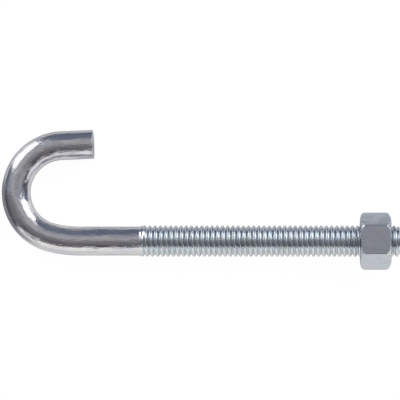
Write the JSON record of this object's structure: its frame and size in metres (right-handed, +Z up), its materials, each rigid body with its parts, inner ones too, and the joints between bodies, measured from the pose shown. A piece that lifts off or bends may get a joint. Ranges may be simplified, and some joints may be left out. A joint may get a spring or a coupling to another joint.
{
  "type": "j-bolt",
  "caption": "Hook bolt bent from round rod, with a long threaded shank and a chamfered hexagon nut that runs along it.",
  "frame": {"origin": "centre of the hook's bend, on the rod's centre line plane", "axes": "+X along the thread from the hook to the threaded end (the thread leans 1.75 degrees up from it), +Y from the thread towards the hook's tip, +Z up from the surface it lies on"},
  "size_m": [0.1222, 0.043, 0.0156],
  "materials": {
    "plated_rod": "bright zinc plating, lightly streaked along the rod",
    "plated_nut": "bright zinc plating, slightly duller than the rod"
  },
  "bodies": {
    "bolt": {"j_bolt": "plated_rod"},
    "nut": {"hex_nut": "plated_nut"}
  },
  "joints": [
    {"name": "nut_run", "type": "slide", "parent": "bolt", "child": "nut", "axis": [0.9995, 0, 0.0305], "range_m": [-0.0635, 0.01111]}
  ]
}
